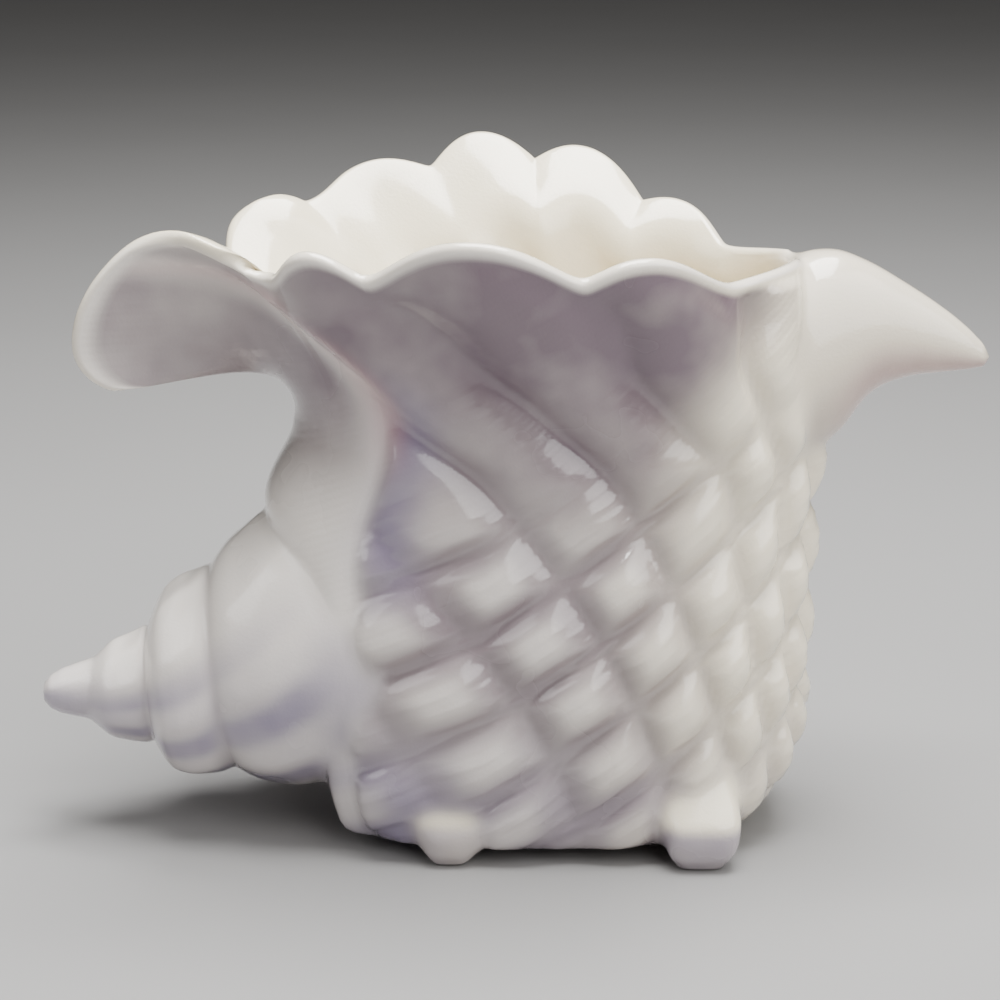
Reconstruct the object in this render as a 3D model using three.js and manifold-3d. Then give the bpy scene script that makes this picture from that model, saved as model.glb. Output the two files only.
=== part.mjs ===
// Ceramic vase in the form of a conch shell, slip-cast in one hollow piece.
// Millimetres, +Z up. The spire points to -X, the beak to +X, the front is -Y.
import * as THREE from 'three';
import { ParametricGeometry } from 'three/addons/geometries/ParametricGeometry.js';
import { mergeVertices } from 'three/addons/utils/BufferGeometryUtils.js';
import Module from 'manifold-3d';

// --- overall -----------------------------------------------------------------
const WALL = 5.0;                 // thickness of the cast wall
const UNDERSIDE = 4.5;            // height of the flat underside above the pads
const BASE_ROUND = 7.0;           // radius of the edge between underside and wall
const TRIM = 3.5;                 // depth inside the wall where joined pieces end

// --- body: outer section by height -------------------------------------------
const HEIGHTS = [0, 25, 45, 60, 95, 120, 145, 170, 195, 240];
const LEFT = [-58, -62, -62, -62, -70, -82, -72, -71, -76, -84];
const RIGHT = [88, 104, 108, 108, 109, 110, 112, 110, 103, 97];
const FRONT = [-51, -55, -56, -57, -55, -51, -50, -54, -60, -66];
const BACK = [50, 55, 56, 58, 57, 54, 51, 49, 49, 52];
const SQUARE_LEFT = [3.0, 4.2, 5.0, 5.0, 4.0, 2.7, 2.6, 2.5, 2.4, 2.4];
const SQUARE_RIGHT = [2.6, 2.5, 2.4, 2.4, 2.4, 2.4, 2.3, 2.1, 1.9, 1.8];

// --- scalloped rim, by angle round the mouth (0 right, 90 back, 270 front) -----
const VALLEYS = [24, 53, 87, 117, 146, 207, 228, 283, 328];
const RIM_AT = [0, 24, 53, 87, 117, 146, 207, 228, 283, 328, 360];
const RIM_Z = [205, 201.5, 211.5, 224.5, 222.5, 212.5, 205, 207.5, 208, 202.5, 205];
const CREST_AT = [0, 24, 42, 70, 101, 129, 147, 150, 205, 217, 258, 304, 328, 360];
const CREST_Z = [0, 4, 7, 10, 10, 7, 2, 0, 0, 9, 13.5, 10, 4, 0];
const FLARE_AT = [0, 24, 43, 60, 90, 116, 146, 176, 207, 228, 258, 304, 328, 360];
const FLARE = [0, 5, 12, 18, 22, 24, 25, 12, 16, 10, 9, 8, 4, 0];

// --- flared lip at the left: ear at the front, lobe at the back -----------------
const LIP_X = [-77, -91, -106, -121, -133, -140, -141, -134, -124, -115, -107, -100, -95, -94,
  -97, -96, -89, -80, -69];
const LIP_Y = [-46, -43, -40, -38, -37, -36, -34, -32, -28, -20, -9, 2, 12, 21, 30, 40, 46, 50, 57];
const LIP_Z = [204.5, 209, 214.5, 212.5, 201.5, 188, 175, 166, 163.5, 164.5, 165.5, 168, 175, 186,
  196, 206, 211.5, 213, 211.5];
const LIP_LINES = [0.30, 0.58];   // share of the way round where the lip begins and ends
const LIP_ANGLES = [207, 146];
const LIP_FROM = 0.73;            // height share where the lip starts to leave the wall
const BEND_AT = [0, 24, 48, 70, 90, 115, 146, 360];
const BEND = [0.95, 0.955, 0.955, 0.935, 0.92, 0.885, 0.86, 0.86]; // height share where the back flares

// --- pillowed lattice ----------------------------------------------------------
const PILLOW = 3.2;               // height of a pillow above its grooves
const RIB_AT = [0, 32, 52, 74, 99, 120, 141, 162, 190, 206];
const RIB_X = [92, 86, 79, 71, 60, 48, 33, 10, -20, -43];
const PITCH_AT = [0, 60, 100, 142, 170, 205];
const PITCH = [24, 27, 33, 41, 53, 77];
const TAPER = 0.25;               // how fast the ribs close up towards the right
const CORD_PITCH = 30.3;
const CORD_SLOPE = 0.68;
const BAND_AT = [0, 58, 94, 127, 165, 185, 200, 215];
const BAND_EDGE = [211, 211, 214, 215, 214, 208, 200, 190];

// --- spire: upright rings by distance from the tip --------------------------------
const TIP_X = -161.5;
const WHORL_AT = [0, 0.4, 1.6, 5.4, 10, 16, 18.3, 20.2, 24, 30, 35.6, 37.3, 38, 39.2, 41.8, 46.4,
  53, 58, 59.3, 61.5, 65.5, 71, 77, 84, 92, 112];
const WHORL_R = [0, 2.5, 4.6, 7.4, 9, 10.8, 11.9, 13.4, 16.6, 18.9, 21.1, 21.9, 24.3, 27, 31.2,
  34.7, 36.5, 37.1, 37.4, 39.5, 43.2, 46.5, 49, 50.5, 51.5, 52];
const AXIS_AT = [0, 20, 34, 42, 53, 62, 71, 84, 112];
const AXIS_Y = [-12, -9.6, -7.9, -6.9, -5.6, -4.5, -3.4, -1.8, 0];
const AXIS_Z = [50, 50.8, 51.2, 53.2, 55.2, 59, 61.6, 66.3, 67.5];
const SHEAR_AT = [0, 30, 38, 47, 59, 66, 77, 92, 112];
const SHEAR = [0, 0, 3.2, 5.6, 9, 11.4, 14.2, 16.7, 17]; // how far the low side of a ring lies back

// --- beak: hollow horn at the right, stations along X ------------------------------
const BEAK_AT = [70, 98, 117, 126, 140, 150, 158, 164, 167.5, 169];
const BEAK_TOP = [202, 204.5, 205.5, 202, 194, 187.5, 181.5, 176, 171.8, 168.5];
const BEAK_LOW = [132, 133, 143, 155, 162, 163.3, 164, 164.8, 166, 168.3];
const BEAK_HALF = [30, 27, 21, 17.5, 12.5, 9.6, 7.0, 4.6, 2.6, 0.05];
const HOLLOW_AT = [78, 98, 117, 126, 138, 146, 150];
const HOLLOW_TOP = [176, 186, 198, 196, 188, 182, 177];
const HOLLOW_LOW = [146, 146, 151, 162, 169, 171, 176];
const HOLLOW_HALF = [16, 16, 15, 12, 7, 4, 0.05];

// --- feet: pad centre and half sizes, then section growth and inward lean by height ------
const PADS = [[-17, -43, 8, 8], [69, -46, 9, 9], [-26, 42, 9, 8], [69, 46, 9, 9]];
const FOOT_AT = [0, 1.5, 6, 12, 20, 30, 40, 48];
const FOOT_GROW = [-1.5, 0, 3, 4.5, 4.5, 3.5, 1, -4];
const FOOT_LEAN = [0, 0, 0, 0, 1, 4.5, 9, 14];

// --- facets ------------------------------------------------------------------------
const LINES = 82;
const ROUNDING = [0, 0.017, 0.034, 0.05];
const OUTER_ROWS = 22;
const INNER_ROWS = 8;
const SPIRE_FACETS = [30, 22];

const CERAMIC = { color: 0xd9d3e0, roughness: 0.16, metalness: 0 };

function smooth(a, b, x) {
  const t = Math.min(Math.max((x - a) / (b - a), 0), 1);
  return t * t * (3 - 2 * t);
}

// Cubic curve through the values at the knots, with slopes taken from the neighbours.
function through(knots, values, at) {
  const last = knots.length - 1;
  const x = Math.min(Math.max(at, knots[0]), knots[last]);
  let i = 0;
  while (i < last - 1 && x >= knots[i + 1]) i += 1;
  const slope = (k) => {
    if (k === 0) return (values[1] - values[0]) / (knots[1] - knots[0]);
    if (k === last) return (values[last] - values[last - 1]) / (knots[last] - knots[last - 1]);
    const before = knots[k] - knots[k - 1];
    const after = knots[k + 1] - knots[k];
    const left = (values[k] - values[k - 1]) / before;
    const right = (values[k + 1] - values[k]) / after;
    return (left * after + right * before) / (before + after);
  };
  const h = knots[i + 1] - knots[i];
  const t = (x - knots[i]) / h;
  const a = (2 * t * t * t - 3 * t * t + 1) * values[i];
  const b = (t * t * t - 2 * t * t + t) * h * slope(i);
  const c = (3 * t * t - 2 * t * t * t) * values[i + 1];
  const d = (t * t * t - t * t) * h * slope(i + 1);
  return a + b + c + d;
}

// Straight runs between the knots.
function steps(knots, values, x) {
  let i = 0;
  while (i < knots.length - 2 && x >= knots[i + 1]) i += 1;
  const t = (x - knots[i]) / (knots[i + 1] - knots[i]);
  return values[i] + (values[i + 1] - values[i]) * t;
}

function angleAt(u) {
  return steps([0, LIP_LINES[0], LIP_LINES[1], 1], [360, LIP_ANGLES[0], LIP_ANGLES[1], 0], u);
}

// Rounded-square section: radius from the section's middle at one angle.
function section(angle, z, inset) {
  const c = Math.cos(THREE.MathUtils.degToRad(angle));
  const s = Math.sin(THREE.MathUtils.degToRad(angle));
  const left = through(HEIGHTS, LEFT, z);
  const right = through(HEIGHTS, RIGHT, z);
  const halfX = (right - left) / 2 - inset;
  const halfY = (s < 0 ? -through(HEIGHTS, FRONT, z) : through(HEIGHTS, BACK, z)) - inset;
  const squareLeft = through(HEIGHTS, SQUARE_LEFT, z);
  const squareRight = through(HEIGHTS, SQUARE_RIGHT, z);
  const n = squareRight + (squareLeft - squareRight) * smooth(-0.5, 0.7, -c);
  const r = (Math.abs(c / halfX) ** n + Math.abs(s / halfY) ** n) ** (-1 / n);
  return [(left + right) / 2 + r * c, r * s];
}

// One scallop per unit, whole numbers at the valleys.
function scallopPhase(angle) {
  const knots = [VALLEYS[VALLEYS.length - 1] - 360, ...VALLEYS, VALLEYS[0] + 360];
  return steps(knots, knots.map((_, i) => i), angle);
}

function arch(phase) {
  return Math.sqrt(Math.sin(Math.PI * phase) ** 2 + 0.02);
}

// The wall before the lip is drawn out: v runs from the underside's edge to the rim.
function plainWall(u, v) {
  const angle = angleAt(u);
  const crest = arch(scallopPhase(angle));
  const level = through(RIM_AT, RIM_Z, angle);
  const rim = level + through(CREST_AT, CREST_Z, angle) * (crest - 0.14);
  const turn = Math.min(Math.max(v / 0.05, 0), 1) * Math.PI / 2;
  const share = Math.min(Math.max((v - 0.05) / 0.95, 0), 1);
  let z = UNDERSIDE + BASE_ROUND * (1 - Math.cos(turn));
  z += share * (level - UNDERSIDE - BASE_ROUND);
  z += (rim - level) * smooth(0.72, 1, v);
  const [x, y] = section(angle, z, BASE_ROUND * (1 - Math.sin(turn)));
  const back = smooth(0, 30, angle) * smooth(170, 150, angle);
  const bend = through(BEND_AT, BEND, angle);
  const late = (v - bend + Math.hypot(v - bend, 0.012)) / (1 - bend + Math.hypot(1 - bend, 0.012));
  const early = smooth(0.78, 1.04, v) / smooth(0.78, 1.04, 1);
  const front = angle > 205 ? 5 : 0;
  const flute = angle > 180 ? front : 6 * smooth(150, 135, angle);
  const out = through(FLARE_AT, FLARE, angle) * (back * late + (1 - back) * early)
    + (crest - 0.6) * flute * smooth(0.72, 0.95, v);
  const a = THREE.MathUtils.degToRad(angle);
  return new THREE.Vector3(x + Math.cos(a) * out, y + Math.sin(a) * out, z);
}

// The drawn wall: above LIP_FROM the left lines bend out to the ear and the lobe.
function drawnWall(u, v) {
  const plain = plainWall(u, v);
  const t = (u - LIP_LINES[0]) / (LIP_LINES[1] - LIP_LINES[0]);
  if (t <= 0 || t >= 1 || v <= LIP_FROM) return plain;
  const at = LIP_X.map((_, i) => i / (LIP_X.length - 1));
  const edge = new THREE.Vector3(
    through(at, LIP_X, t),
    through(at, LIP_Y, t),
    through(at, LIP_Z, t),
  );
  const start = plainWall(u, LIP_FROM);
  const lean = start.clone().sub(plainWall(u, LIP_FROM - 0.001));
  const first = start.clone().addScaledVector(lean, (1 - LIP_FROM) / 0.003);
  const bendZ = edge.z - 5 + 9 * smooth(0.2, 0.35, t) * smooth(0.8, 0.65, t);
  const [bendX, bendY] = section(angleAt(u), bendZ, 0);
  const second = new THREE.Vector3(bendX, bendY, bendZ).lerp(edge, 0.34);
  const curve = new THREE.CubicBezierCurve3(start, first, second, edge);
  const point = curve.getPoint((v - LIP_FROM) / (1 - LIP_FROM));
  return plain.lerp(point, smooth(0, 0.07, t) * smooth(0, 0.07, 1 - t));
}

// Outward normal and the direction up the wall.
function wallFrame(u, v) {
  const e = 0.002;
  const round = drawnWall((u + e) % 1, v).sub(drawnWall((u - e + 1) % 1, v));
  const up = drawnWall(u, Math.min(v + e, 1)).sub(drawnWall(u, Math.max(v - e, 0))).normalize();
  return { normal: up.clone().cross(round).normalize(), up };
}

// The wall's face, let down near the top so that the rounded rim ends at the drawn edge.
function shellWall(u, v) {
  const { up } = wallFrame(u, v);
  return drawnWall(u, v).addScaledVector(up, -WALL / 2 * smooth(0.88, 1, v));
}

// Pillows between the ribs (steep, fanning to the rim) and the cords (rising to the right).
function pillows(u, v, point) {
  const whole = angleAt(u);
  const angle = whole < 180 ? 360 - whole : whole;
  const { z } = point;
  const [x, y] = section(angle, z, 0);
  const arc = x + 0.62 * Math.max(0, y - through(HEIGHTS, FRONT, z)) * smooth(0, 60, x);
  const away = (arc - through(RIB_AT, RIB_X, z)) / through(PITCH_AT, PITCH, z);
  const rib = 2 - Math.log(Math.max(1 - TAPER * away, 0.05)) / TAPER;
  const soft = arc < -5 ? -5 + 0.63 * (arc + 5) : arc;
  const cord = (z - CORD_SLOPE * soft + 3) / CORD_PITCH;
  const ribs = Math.cos(Math.PI * (rib - Math.round(rib) - 0.5)) ** 2;
  const cords = Math.cos(Math.PI * (cord - Math.round(cord) - 0.5)) ** 2;
  const high = smooth(175, 130, z);
  const relief = PILLOW * (ribs * (1 - high + high * cords) - 0.45);
  const lattice = smooth(0, 6, angle - through(BAND_AT, BAND_EDGE, z));
  return relief * lattice * smooth(0.03, 0.08, v) * smooth(0.98, 0.8, v);
}

// Negative where the faces point inwards.
function signedVolume(geometry, index) {
  const at = (i) => new THREE.Vector3().fromBufferAttribute(geometry.getAttribute('position'), i);
  let sum = 0;
  for (let i = 0; i < index.length; i += 3) {
    sum += at(index[i]).dot(at(index[i + 1]).cross(at(index[i + 2]))) / 6;
  }
  return sum;
}

// One closed skin with shared corners, facing out.
function weld(geometry) {
  const bare = geometry.clone();
  bare.deleteAttribute('normal');
  bare.deleteAttribute('uv');
  const merged = mergeVertices(bare, 1e-4);
  const index = merged.getIndex().array;
  const kept = [];
  for (let i = 0; i < index.length; i += 3) {
    const [a, b, c] = [index[i], index[i + 1], index[i + 2]];
    if (a !== b && b !== c && c !== a) kept.push(a, b, c);
  }
  merged.setIndex(signedVolume(merged, kept) < 0 ? kept.reverse() : kept);
  return merged;
}

// A closed surface made of stacked rings; the first and last rings are single points.
function stackedSurface(rings, lines) {
  const last = rings.length - 1;
  const place = (u, v, target) => target.copy(rings[Math.round(v * last)](u % 1));
  return new ParametricGeometry(place, lines, last);
}

// Hollow body: underside, outer wall, rounded rim, inner wall and floor as one skin.
function bodyCup() {
  const middle = (z) => new THREE.Vector3((LEFT[0] + RIGHT[0]) / 2, 0, z);
  const outer = (v) => (u) => {
    const point = shellWall(u, v);
    return point.clone().addScaledVector(wallFrame(u, v).normal, pillows(u, v, point));
  };
  const inner = (v) => (u) => shellWall(u, v).addScaledVector(wallFrame(u, v).normal, -WALL);
  const roll = (turn) => (u) => {
    const { normal, up } = wallFrame(u, 1);
    const centre = shellWall(u, 1).addScaledVector(normal, -WALL / 2);
    centre.addScaledVector(normal, Math.cos(turn) * WALL / 2);
    return centre.addScaledVector(up, Math.sin(turn) * WALL / 2);
  };
  const spaced = (count) => Array.from({ length: count }, (_, i) => {
    const s = (i + 1) / count;
    return 0.05 + 0.95 * (1 - (1 - s) ** 1.25);
  });
  const rings = [
    () => middle(UNDERSIDE),
    (u) => middle(UNDERSIDE).lerp(shellWall(u, 0), 0.6),
    ...ROUNDING.map(outer),
    ...spaced(OUTER_ROWS).map(outer),
    roll(Math.PI / 3),
    roll(2 * Math.PI / 3),
    ...spaced(INNER_ROWS).reverse().map(inner),
    ...[0.05, 0.025, 0].map(inner),
    (u) => middle(UNDERSIDE + WALL).lerp(inner(0)(u), 0.6),
    () => middle(UNDERSIDE + WALL),
  ];
  return stackedSurface(rings, LINES);
}

// The room inside the wall, used to trim whatever is joined on from outside.
function innerRoom() {
  const levels = [8.5, 25, 45, 60, 78, 95, 108, 120, 132, 145, 158, 170, 183, 195, 220, 240];
  const ring = (z) => (u) => {
    const [x, y] = section(360 * (1 - u), z, TRIM);
    return new THREE.Vector3(x, y, z);
  };
  const rings = [() => new THREE.Vector3(20, 0, 8.5), ...levels.map(ring),
    () => new THREE.Vector3(10, 0, 240)];
  return stackedSurface(rings, 60);
}

// Whorled cone of the spire; the hollow inside is thinner and its whorls lie further back.
function spire(from, to, thinner, back, facets) {
  const centre = (d) => new THREE.Vector3(
    TIP_X + d,
    through(AXIS_AT, AXIS_Y, d),
    through(AXIS_AT, AXIS_Z, d),
  );
  const whorl = (d) => (u) => {
    const a = 2 * Math.PI * u;
    const r = Math.max(through(WHORL_AT, WHORL_R, d - back) - thinner, 0.3);
    const lean = through(SHEAR_AT, SHEAR, d) * (1 - Math.cos(a)) / 2;
    return centre(d).add(new THREE.Vector3(lean, -r * Math.sin(a), r * Math.cos(a)));
  };
  const distances = Array.from({ length: facets[0] }, (_, i) => {
    const s = (i + 0.35) / (facets[0] - 0.65);
    return from + (to - from) * s ** 1.15;
  });
  return stackedSurface([() => centre(from), ...distances.map(whorl), () => centre(to)], facets[1]);
}

// Horn lofted along X between a top line, a low line and a half width.
function horn(at, top, low, half, facets) {
  const first = at[0];
  const last = at[at.length - 1];
  const centre = (x) => (through(at, top, x) + through(at, low, x)) / 2;
  const ring = (x) => (u) => {
    const a = -2 * Math.PI * u;
    const c = Math.cos(a);
    const s = Math.sin(a);
    const r = (Math.abs(c) ** 2.3 + Math.abs(s) ** 2.3) ** (-1 / 2.3);
    const y = through(at, half, x) * r * s * (1 - 0.22 * c);
    const rise = (through(at, top, x) - through(at, low, x)) / 2;
    return new THREE.Vector3(x, y, centre(x) + rise * r * c);
  };
  const stations = Array.from({ length: facets[0] }, (_, i) => {
    const s = i / facets[0];
    return first + (last - first) * (1 - (1 - s) ** 1.3);
  });
  const end = () => new THREE.Vector3(last, 0, centre(last));
  return stackedSurface([() => new THREE.Vector3(first, 0, centre(first)),
    ...stations.map(ring), end], facets[1]);
}

// Foot: rounded block standing on a flat pad, leaning back into the wall higher up.
function foot([x, y, halfX, halfY]) {
  const middle = (i) => new THREE.Vector3(x, y - Math.sign(y) * FOOT_LEAN[i], FOOT_AT[i]);
  const ring = (i) => (u) => {
    const a = -2 * Math.PI * u;
    const c = Math.cos(a);
    const s = Math.sin(a);
    const r = (Math.abs(c) ** 4 + Math.abs(s) ** 4) ** (-1 / 4);
    const reachX = (halfX + FOOT_GROW[i]) * r * c;
    const reachY = (halfY + FOOT_GROW[i]) * r * s;
    return middle(i).add(new THREE.Vector3(reachX, reachY, 0));
  };
  const rings = FOOT_AT.map((_, i) => ring(i));
  return stackedSurface([() => middle(0), ...rings, () => middle(FOOT_AT.length - 1)], 14);
}

async function build() {
  const wasm = await Module();
  wasm.setup();
  const solid = (geometry) => {
    const bare = weld(geometry);
    const shape = new wasm.Manifold(new wasm.Mesh({
      numProp: 3,
      vertProperties: new Float32Array(bare.getAttribute('position').array),
      triVerts: new Uint32Array(bare.getIndex().array),
    }));
    return shape;
  };
  const room = solid(innerRoom());
  const spireSkin = solid(spire(0, 112, 0, 0, SPIRE_FACETS)).subtract(room);
  const beakSkin = solid(horn(BEAK_AT, BEAK_TOP, BEAK_LOW, BEAK_HALF, [15, 16])).subtract(room);
  let shape = solid(bodyCup()).add(spireSkin).add(beakSkin);
  PADS.forEach((pad) => {
    shape = shape.add(solid(foot(pad)).subtract(room));
  });
  shape = shape.subtract(solid(spire(10, 112, 4.2, 2.5, [14, 16])));
  shape = shape.subtract(solid(horn(HOLLOW_AT, HOLLOW_TOP, HOLLOW_LOW, HOLLOW_HALF, [8, 12])));
  const out = shape.getMesh();
  const geometry = new THREE.BufferGeometry();
  geometry.setAttribute('position', new THREE.Float32BufferAttribute(out.vertProperties, 3));
  geometry.setIndex(Array.from(out.triVerts));
  geometry.computeBoundingBox();
  const box = geometry.boundingBox;
  geometry.translate(-(box.min.x + box.max.x) / 2, -(box.min.y + box.max.y) / 2, -box.min.z);
  geometry.computeVertexNormals();
  return geometry;
}

const vase = new THREE.Mesh(await build(), new THREE.MeshStandardMaterial(CERAMIC));
vase.name = 'conch_vase';
const part = new THREE.Group();
part.name = 'conch_shell_vase';
part.add(vase);

export default part;
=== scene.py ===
"""Glazed ceramic vase in the form of a conch shell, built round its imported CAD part.

Shapes are worked out in millimetres with the spire to -X, the beak to +X and the front to -Y,
then placed in metres from the CAD part's own box.
"""

import logging
import math
from dataclasses import dataclass, field
from enum import IntEnum

import bmesh
import bpy
import numpy as np
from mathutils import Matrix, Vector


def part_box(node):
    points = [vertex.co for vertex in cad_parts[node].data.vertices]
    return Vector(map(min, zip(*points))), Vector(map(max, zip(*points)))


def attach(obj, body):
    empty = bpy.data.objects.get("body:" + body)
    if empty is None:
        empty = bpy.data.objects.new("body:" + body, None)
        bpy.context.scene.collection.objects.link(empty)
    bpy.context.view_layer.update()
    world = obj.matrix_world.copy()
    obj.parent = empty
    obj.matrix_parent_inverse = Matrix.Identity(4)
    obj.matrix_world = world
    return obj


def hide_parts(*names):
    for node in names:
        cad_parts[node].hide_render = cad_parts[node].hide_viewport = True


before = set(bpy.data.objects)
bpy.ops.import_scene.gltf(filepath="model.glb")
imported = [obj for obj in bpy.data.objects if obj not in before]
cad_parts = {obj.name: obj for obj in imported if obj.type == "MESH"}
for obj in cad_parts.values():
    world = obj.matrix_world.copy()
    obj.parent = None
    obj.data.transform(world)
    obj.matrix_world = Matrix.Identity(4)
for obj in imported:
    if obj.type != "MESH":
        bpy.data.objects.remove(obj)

LOG = logging.getLogger("conch_vase")
NODE = "conch_vase"
Array = np.ndarray
Knots = tuple[float, ...]


class Skin(IntEnum):
    """Which surface of the casting a vertex belongs to; 0 is a corner newly cut by a join."""

    JOIN = 0
    OUTSIDE = 1
    INSIDE = 2
    SPIRE = 3
    BEAK = 4
    FOOT = 5
    HOLLOW = 6


def smooth(low: float, high: float, x: Array) -> Array:
    """Ease from 0 at low to 1 at high, flat at both ends.

    Args:
        low: value of x where the ease starts.
        high: value of x where it ends; it may be under low.
        x: where it is wanted.

    Returns:
        3t^2 - 2t^3 of the clipped share t.
    """
    t = np.clip((np.asarray(x, float) - low) / (high - low), 0.0, 1.0)
    return t * t * (3 - 2 * t)


def bell(x: Array, width: float | Array) -> Array:
    """Bell curve exp(-(x / width)^2)."""
    return np.exp(-((x / width) ** 2))


def unit(vectors: Array) -> Array:
    """Vectors of length one along the last axis."""
    return vectors / np.maximum(np.linalg.norm(vectors, axis=-1, keepdims=True), 1e-9)


@dataclass(frozen=True)
class Curve:
    """Smooth curve through values at knots: cubic pieces whose slopes come from the neighbours."""

    knots: Knots
    values: tuple

    def __call__(self, x: Array | float) -> Array:
        """Values of the curve.

        Args:
            x: where it is read; past the end knots it stays at the end values.

        Returns:
            One value, or one row of values, for each x.
        """
        k = np.asarray(self.knots, float)
        v = np.asarray(self.values, float)
        x = np.clip(x, k[0], k[-1])
        m = np.gradient(v, k, axis=0)
        i = np.clip(np.searchsorted(k, x, side="right") - 1, 0, len(k) - 2)
        h = k[i + 1] - k[i]
        t = (x - k[i]) / h
        if v.ndim > 1:
            t, h = t[..., None], h[..., None]
        start = (2 * t**3 - 3 * t**2 + 1) * v[i] + (t**3 - 2 * t**2 + t) * h * m[i]
        return start + (3 * t**2 - 2 * t**3) * v[i + 1] + (t**3 - t**2) * h * m[i + 1]


@dataclass(frozen=True)
class BodySection:
    """Plain body: a rounded square whose four sides and squareness follow curves by height."""

    heights: Knots = (0, 25, 45, 60, 95, 120, 145, 170, 195, 240)
    left: Knots = (-58, -62, -62, -62, -70, -82, -72, -71, -76, -84)
    right: Knots = (88, 104, 108, 108, 109, 110, 112, 110, 103, 97)
    front: Knots = (-51, -55, -56, -57, -55, -51, -50, -54, -60, -66)
    back: Knots = (50, 55, 56, 58, 57, 54, 51, 49, 49, 52)
    square_left: Knots = (3.0, 4.2, 5.0, 5.0, 4.0, 2.7, 2.6, 2.5, 2.4, 2.4)
    square_right: Knots = (2.6, 2.5, 2.4, 2.4, 2.4, 2.4, 2.3, 2.1, 1.9, 1.8)

    def side(self, name: str, z: Array) -> Array:
        """One side's place at heights z."""
        return Curve(self.heights, getattr(self, name))(z)

    def reach(self, angle: Array, z: Array, inset: Array | float = 0.0) -> tuple[Array, Array]:
        """Outline of the section at a height.

        The radius is (|cos/a|^n + |sin/b|^n)^(-1/n) with half widths a, b and squareness n.

        Args:
            angle: degrees round the axis, 0 right, 90 back, 180 left, 270 front.
            z: height.
            inset: how far inside the wall's face the outline runs.

        Returns:
            The outline's x and y.
        """
        c, s = np.cos(np.radians(angle)), np.sin(np.radians(angle))
        left, right = self.side("left", z), self.side("right", z)
        half_x = (right - left) / 2 - inset
        half_y = np.where(s < 0, -self.side("front", z), self.side("back", z)) - inset
        n_right = self.side("square_right", z)
        n = n_right + (self.side("square_left", z) - n_right) * smooth(-0.5, 0.7, -c)
        r = (np.abs(c / half_x) ** n + np.abs(s / half_y) ** n) ** (-1 / n)
        return (left + right) / 2 + r * c, r * s


@dataclass(frozen=True)
class ScallopedRim:
    """Mouth's edge by angle: nine valleys with rounded scallops between, and how far it flares."""

    valleys: Knots = (24, 53, 87, 117, 146, 207, 228, 283, 328)
    level: Curve = Curve(
        (0, 24, 53, 87, 117, 146, 207, 228, 283, 328, 360),
        (205, 201.5, 211.5, 224.5, 222.5, 212.5, 205, 207.5, 208, 202.5, 205),
    )
    crest: Curve = Curve(
        (0, 24, 42, 70, 101, 129, 147, 150, 205, 217, 258, 304, 328, 360),
        (0, 4, 7, 10, 10, 7, 2, 0, 0, 9, 13.5, 10, 4, 0),
    )
    flare: Curve = Curve(
        (0, 24, 43, 60, 90, 116, 146, 176, 207, 228, 258, 304, 328, 360),
        (0, 5, 12, 18, 22, 24, 25, 12, 16, 10, 9, 8, 4, 0),
    )
    bend: Curve = Curve(
        (0, 24, 48, 70, 90, 115, 146, 360),
        (0.95, 0.955, 0.955, 0.935, 0.92, 0.885, 0.86, 0.86),
    )

    def arch(self, angle: Array) -> Array:
        """Scallop wave, 0.14 in a valley and 1 on a crest: sqrt(sin^2 + 0.02) of half turns.

        Args:
            angle: angles round the rim, in degrees.

        Returns:
            The wave at each angle.
        """
        knots = (self.valleys[-1] - 360, *self.valleys, self.valleys[0] + 360)
        phase = np.interp(angle, knots, np.arange(len(knots)))
        return np.sqrt(np.sin(np.pi * phase) ** 2 + 0.02)

    def height(self, angle: Array) -> Array:
        """Height of the rim: its level plus the scallop's crest."""
        return self.level(angle) + self.crest(angle) * (self.arch(angle) - 0.14)

    def turned_out(self, angle: Array, v: Array) -> Array:
        """Share of the back's flare: nothing up to the bend, then a straight rise to 1.

        Args:
            angle: degrees round the mouth.
            v: share up the wall.

        Returns:
            The rounded ramp (w + sqrt(w^2 + 0.012^2)) / 2 over the way above the bend.
        """
        bend = self.bend(angle)
        rise, full = v - bend, 1 - bend
        return (rise + np.hypot(rise, 0.012)) / (full + np.hypot(full, 0.012))


@dataclass(frozen=True)
class DrawnLip:
    """Lip pulled out at the left: a round ear at the front, a trough, and a lobe at the back."""

    edge: tuple[tuple[float, float, float], ...] = (
        (-77, -46, 204.5), (-91, -43, 209), (-106, -40, 214.5), (-121, -38, 212.5),
        (-133, -37, 201.5), (-140, -36, 188), (-141, -34, 175), (-134, -32, 166),
        (-124, -28, 163.5), (-115, -20, 164.5), (-107, -9, 165.5), (-100, 2, 168),
        (-95, 12, 175), (-94, 21, 186), (-97, 30, 196), (-96, 40, 206), (-89, 46, 211.5),
        (-80, 50, 213), (-69, 57, 211.5),
    )  # fmt: skip
    lines: tuple[float, float] = (0.30, 0.58)
    angles: tuple[float, float] = (207, 146)
    start: float = 0.73

    def angle(self, u: Array) -> Array:
        """Angle round the mouth at a share u of the way round; the lip has lines to spare."""
        return np.interp(u, (0, *self.lines, 1), (360, *self.angles, 0))

    def share(self, u: Array) -> Array:
        """Place along the lip, 0 at its front end and 1 at its back end."""
        return np.clip((u - self.lines[0]) / (self.lines[1] - self.lines[0]), 0, 1)

    def outline(self, t: Array) -> Array:
        """Points of the lip's edge at places t along it."""
        return Curve(tuple(np.linspace(0, 1, len(self.edge))), self.edge)(t)


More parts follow.
